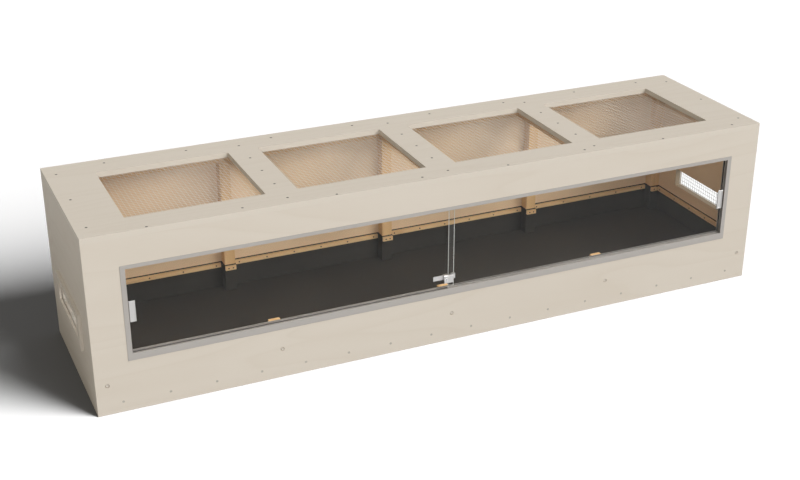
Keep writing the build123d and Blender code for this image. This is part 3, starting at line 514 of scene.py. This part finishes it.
def float_glass(look):
    """Clear glass with faint smears, which lets the lamps' light straight through."""
    recipe = Recipe("float_glass", IOR=look.ior, Transmission_Weight=1.0, Base_Color=look.tint)
    smear = recipe.noise(recipe.place(), 4.0, detail=3.0)
    recipe.set("Roughness", recipe.ramp(smear, (0.45, 0.0), (0.9, 0.02)))
    clear = recipe.add("ShaderNodeBsdfTransparent", {"Color": (0.96, 0.97, 0.965)})
    recipe.cover(recipe.add("ShaderNodeLightPath", output="Is Shadow Ray"), clear)
    return recipe.material


def ground_edge(look):
    """The ground ends of a pane."""
    recipe = Recipe("ground_edge", Roughness=0.5)
    grit = recipe.noise(recipe.place(), 1200.0)
    recipe.set("Base Color", recipe.mix(grit, look.ground, scaled(look.ground, 0.85)))
    recipe.set("Normal", recipe.bump(grit, 0.03 * MM, 0.5))
    return recipe.material


def bevelled_box(node, width, segments):
    """A bmesh of a CAD node's box, with all its edges bevelled."""
    low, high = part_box(node)
    bm = bmesh.new()
    bmesh.ops.create_cube(bm, size=1.0)
    bmesh.ops.scale(bm, verts=bm.verts, vec=high - low)
    bmesh.ops.translate(bm, verts=bm.verts, vec=(low + high) / 2)
    bmesh.ops.bevel(
        bm, geom=list(bm.edges), offset=width, offset_type="OFFSET", segments=segments,
        profile=0.5, affect="EDGES", clamp_overlap=True, material=-1,
    )
    return bm


def new_piece(name, bm, material, body, node):
    """Turn a bmesh into a piece that stands for a CAD node."""
    mesh = bpy.data.meshes.new(name)
    bmesh.ops.recalc_face_normals(bm, faces=bm.faces)
    bm.to_mesh(mesh)
    bm.free()
    mesh.materials.append(material)
    piece = bpy.data.objects.new(name, mesh)
    bpy.context.scene.collection.objects.link(piece)
    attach(piece, body)
    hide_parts(node)
    return piece


def wires_of(node):
    """The corners of each wire's box in a CAD mesh node, whose wires are its loose islands."""
    bm = bmesh.new()
    bm.from_mesh(NODES[node].data)
    bmesh.ops.remove_doubles(bm, verts=bm.verts, dist=0.01 * MM)
    unseen = set(bm.verts)
    boxes = []
    while unseen:
        island = set()
        border = [unseen.pop()]
        while border:
            vertex = border.pop()
            island.add(vertex)
            for edge in vertex.link_edges:
                other = edge.other_vert(vertex)
                if other in unseen:
                    unseen.discard(other)
                    border.append(other)
        parts = list(zip(*(vertex.co for vertex in island)))
        boxes.append((Vector([min(part) for part in parts]), Vector([max(part) for part in parts])))
    bm.free()
    return boxes


def round_wires(node, material):
    """Replace a mesh node's square wires with round ones of the same thickness."""
    bm = bmesh.new()
    for low, high in wires_of(node):
        size = high - low
        lengthwise = Vector([float(part == max(size)) for part in size])
        made = bmesh.ops.create_cone(
            bm, cap_ends=True, segments=settings().wires.sides,
            radius1=min(size) / 2, radius2=min(size) / 2, depth=max(size),
        )["verts"]
        turn = Vector((0, 0, 1)).rotation_difference(lengthwise).to_matrix()
        bmesh.ops.rotate(bm, verts=made, cent=(0, 0, 0), matrix=turn)
        bmesh.ops.translate(bm, verts=made, vec=(low + high) / 2)
    for face in bm.faces:
        face.smooth = len(face.verts) == 4
    new_piece(f"{node}_wires", bm, material, "enclosure", node)


class ENCLOSURE_OT_panels(Operator):
    """Finish the plywood panels and vent covers"""

    bl_idname = "enclosure.panels"
    bl_label = "Plywood panels"

    def execute(self, context):
        look = settings().plywood
        for node, (axis, inner, grain_axis) in PANELS.items():
            # The right end's cut edges, its vent slot's reveal among them, get the dark wood as painted
            # shade
            edge_tone = look.painted_shade_wood if node == "right_end_panel" else look.outside
            finish([node], plywood(node, axis, inner, grain_axis, edge_tone))
        return {"FINISHED"}


class ENCLOSURE_OT_timber(Operator):
    """Finish the posts, rails and joists, with planed arrises"""

    bl_idname = "enclosure.timber"
    bl_label = "Timber frame"

    def execute(self, context):
        look = settings().timber
        for axis, nodes in (("Z", POSTS), ("X", LONG_RAILS), ("Y", CROSS_RAILS)):
            wood = pine(f"pine_along_{axis.lower()}", axis, look.early, look.late, 9.0)
            for node in nodes:
                bm = bevelled_box(node, look.arris, 2)
                new_piece(f"{node}_planed", bm, wood, "enclosure", node)
        # The last wood's rings run along Y, as the bearers under the floor do
        finish(["base_cross_rails"], wood)
        return {"FINISHED"}


class ENCLOSURE_OT_liner(Operator):
    """Finish the liner tub"""

    bl_idname = "enclosure.liner"
    bl_label = "Liner"

    def execute(self, context):
        finish(["substrate_liner"], black_sheet(settings().liner))
        return {"FINISHED"}


class ENCLOSURE_OT_battens(Operator):
    """Finish the battens and clamp blocks"""

    bl_idname = "enclosure.battens"
    bl_label = "Battens"

    def execute(self, context):
        look = settings().timber
        for axis, nodes in (("X", LONG_BATTENS), ("Y", CROSS_BATTENS)):
            name = f"batten_along_{axis.lower()}"
            finish(nodes, pine(name, axis, look.batten_early, look.batten_late, 12.0))
        return {"FINISHED"}


class ENCLOSURE_OT_mesh(Operator):
    """Make the welded mesh of the roof and the vents from round wires"""

    bl_idname = "enclosure.mesh"
    bl_label = "Wire mesh"

    def execute(self, context):
        metal = settings().metal
        bright = plating("galvanised_wire", metal.wire, 0.85, 0.2, 0.35, scale=350.0, spread=0.25)
        shaded_wire = plating("painted_shade_wire", metal.vent_wire_shade, 0.8, 0.5, 0.5, scale=350.0, spread=0.25)
        for node in BRIGHT_MESHES:
            round_wires(node, bright)
        # The right vent's wires take the darker copy of the wire, as painted shade
        round_wires("vent_mesh_right", shaded_wire)
        finish(["mesh_staples"], bright)
        return {"FINISHED"}


class ENCLOSURE_OT_window_frame(Operator):
    """Finish the window's aluminium profiles"""

    bl_idname = "enclosure.window_frame"
    bl_label = "Window profiles"

    def execute(self, context):
        # The empty grooves of the tracks and jambs get painted shade, darker in the jambs
        finish(["track_bottom", "track_top"], profile_metal("profile_along_x", "X", 0.18))
        finish(["jamb_left", "jamb_right"], profile_metal("profile_along_z", "Z", 0.05))
        return {"FINISHED"}


class ENCLOSURE_OT_panes(Operator):
    """Make the sliding panes with ground arrises and ends"""

    bl_idname = "enclosure.panes"
    bl_label = "Glass panes"

    def execute(self, context):
        look = settings().panes
        glass = float_glass(look)
        ground = ground_edge(look)
        for side in ("left", "right"):
            node = f"{side}_glass"
            bm = bevelled_box(node, look.arris, 1)
            bm.normal_update()
            for face in bm.faces:
                face.material_index = int(abs(face.normal.x) > 0.5)
            pane = new_piece(f"{side}_pane", bm, glass, f"{side}_door", node)
            pane.data.materials.append(ground)
        return {"FINISHED"}


class ENCLOSURE_OT_lock(Operator):
    """Finish the finger grips and the ratchet lock"""

    bl_idname = "enclosure.lock"
    bl_label = "Grips and lock"

    def execute(self, context):
        tone = settings().metal.cylinder
        finish(["left_grip", "right_grip"], fitting_metal("satin_fitting", "Z", 0.28))
        finish(["lock_bar", "lock_body"], fitting_metal("satin_lock", "X", 0.25))
        finish(["lock_cylinder"], plating("plated_cylinder", tone, 0.8, 1.0, 0.12, 1500.0, 0.15))
        return {"FINISHED"}


class ENCLOSURE_OT_fasteners(Operator):
    """Finish the screws and bolts"""

    bl_idname = "enclosure.fasteners"
    bl_label = "Screws and bolts"

    def execute(self, context):
        metal = settings().metal
        finish(["roof_screws"], plating("dull_zinc", metal.roof_screw, 0.6, 0.9, 0.35))
        bright = plating("bright_zinc", metal.wall_screw, 0.6, 0.9, 0.35)
        finish(["wall_screws", "cover_screws"], bright)
        finish(["post_bolts"], plating("pale_bolt", metal.bolt, 0.9, 0.3, 0.45))
        finish(["batten_screws"], plating("dark_screw", metal.batten_screw, 0.5, 0.8, 0.4))
        return {"FINISHED"}


def floor_finish(look):
    """A matt floor that turns into the plain white of the background far from the box."""
    recipe = Recipe("studio_floor", Roughness=1.0, Specular_IOR_Level=0.0)
    bounce = recipe.add("ShaderNodeLightPath", output="Is Diffuse Ray")
    recipe.set("Base Color", recipe.mix(bounce, look.floor, look.floor_bounce))
    reach = recipe.add("ShaderNodeVectorMath", {0: recipe.place()}, "Value", operation="LENGTH")
    far = recipe.add(
        "ShaderNodeMapRange", {"Value": reach, "From Min": FADE_START, "From Max": FADE_END},
        interpolation_type="SMOOTHSTEP",
    )
    recipe.cover(far, recipe.add("ShaderNodeEmission", {"Color": WHITE, "Strength": 1.0}))
    return recipe.material


def lay_floor(look):
    """Lay the floor just under the box, and return the collection that holds it."""
    bm = bmesh.new()
    bmesh.ops.create_grid(bm, x_segments=1, y_segments=1, size=FLOOR_REACH)
    bmesh.ops.translate(bm, verts=bm.verts, vec=(0, 0, -FLOOR_GAP))
    mesh = bpy.data.meshes.new("studio_floor")
    bm.to_mesh(mesh)
    bm.free()
    mesh.materials.append(floor_finish(look))
    floor = bpy.data.objects.new("studio_floor", mesh)
    floor_group = bpy.data.collections.new("stage")
    bpy.context.scene.collection.children.link(floor_group)
    floor_group.objects.link(floor)
    return floor_group


def hang_sky(look):
    """A soft sky, warmer on the left, that is plain white where it is seen or reflected."""
    world = bpy.data.worlds.new("studio")
    bpy.context.scene.world = world
    world.use_nodes = True
    sky = NodeTree(world.node_tree)
    camera, glossy, through = [
        sky.add("ShaderNodeLightPath", output=f"Is {kind} Ray")
        for kind in ("Camera", "Glossy", "Transmission")
    ]
    seen = sky.maths("MAXIMUM", sky.maths("MAXIMUM", camera, glossy), through)
    sideways = sky.part(sky.add("ShaderNodeTexCoord", output="Generated"), "X")
    leftward = sky.add(
        "ShaderNodeMapRange", {"Value": sideways, "From Min": 0.0, "From Max": FULLY_LEFT}
    )
    light = sky.mix(leftward, scaled(WHITE, look.sky), scaled(look.sky_left, look.sky))
    sky.feed(world.node_tree.nodes["Background"].inputs["Color"], sky.mix(seen, light, WHITE))


def hang_lamp(name, side, power, angle):
    """A sun lamp that shines from a direction."""
    light = bpy.data.lights.new(name, "SUN")
    light.energy = power
    light.angle = angle
    lamp = bpy.data.objects.new(name, light)
    bpy.context.scene.collection.objects.link(lamp)
    lamp.rotation_euler = Vector(side).to_track_quat("Z", "Y").to_euler()
    return lamp


def place_camera():
    """Stand the camera in front of the left end, looking down and to the right."""
    data = bpy.data.cameras.new("camera")
    data.sensor_width = CAMERA_SENSOR
    data.lens = CAMERA_LENS
    data.clip_end = CAMERA_REACH
    camera = bpy.data.objects.new("camera", data)
    bpy.context.scene.collection.objects.link(camera)
    camera.location = CAMERA_PLACE
    camera.rotation_euler = (math.radians(90 - CAMERA_DOWN), 0, math.radians(-CAMERA_RIGHT))
    bpy.context.scene.camera = camera


class ENCLOSURE_OT_stage(Operator):
    """Make the floor, the lamps, the background and the camera"""

    bl_idname = "enclosure.stage"
    bl_label = "Stage"

    def execute(self, context):
        look = settings().stage
        floor_group = lay_floor(look)
        hang_sky(look)
        hang_lamp("key_lamp", KEY_SIDE, look.sun, look.sun_angle)
        hang_lamp("fill_lamp", FILL_SIDE, look.fill, FILL_ANGLE)
        floor_lamp = hang_lamp("floor_lamp", FLOOR_LAMP_SIDE, look.floor_lamp, look.shadow_angle)
        floor_lamp.light_linking.receiver_collection = floor_group
        place_camera()
        context.scene.view_settings.view_transform = "Standard"
        return {"FINISHED"}


STEPS = (
    ENCLOSURE_OT_stage,
    ENCLOSURE_OT_panels,
    ENCLOSURE_OT_timber,
    ENCLOSURE_OT_liner,
    ENCLOSURE_OT_battens,
    ENCLOSURE_OT_mesh,
    ENCLOSURE_OT_window_frame,
    ENCLOSURE_OT_panes,
    ENCLOSURE_OT_lock,
    ENCLOSURE_OT_fasteners,
)


class ENCLOSURE_PT_panel(Panel):
    """Lists the enclosure's steps and settings"""

    bl_idname = "ENCLOSURE_PT_panel"
    bl_label = "Reptile enclosure"
    bl_space_type = "VIEW_3D"
    bl_region_type = "UI"
    bl_category = "Enclosure"

    def draw(self, context):
        for step in STEPS:
            self.layout.operator(step.bl_idname)
        for group in EnclosureSettings.__annotations__:
            box = self.layout.box()
            box.label(text=group.capitalize())
            values = getattr(context.scene.enclosure, group)
            for name in values.__annotations__:
                box.prop(values, name)


CLASSES = (
    PlywoodFinish, TimberFinish, LinerFinish, MetalFinish, PaneSizes, WireSizes, StageSettings,
    EnclosureSettings, *STEPS, ENCLOSURE_PT_panel,
)


def register():
    """Register the classes, and keep the settings on the scene."""
    for item in CLASSES:
        bpy.utils.register_class(item)
    bpy.types.Scene.enclosure = PointerProperty(type=EnclosureSettings)


def unregister():
    """Take the settings and the classes out again."""
    del bpy.types.Scene.enclosure
    for item in reversed(CLASSES):
        bpy.utils.unregister_class(item)


def main():
    """Register the classes, then make every piece in turn."""
    register()
    for step in STEPS:
        getattr(bpy.ops.enclosure, step.bl_idname.split(".")[1])()


if __name__ == "__main__":
    main()
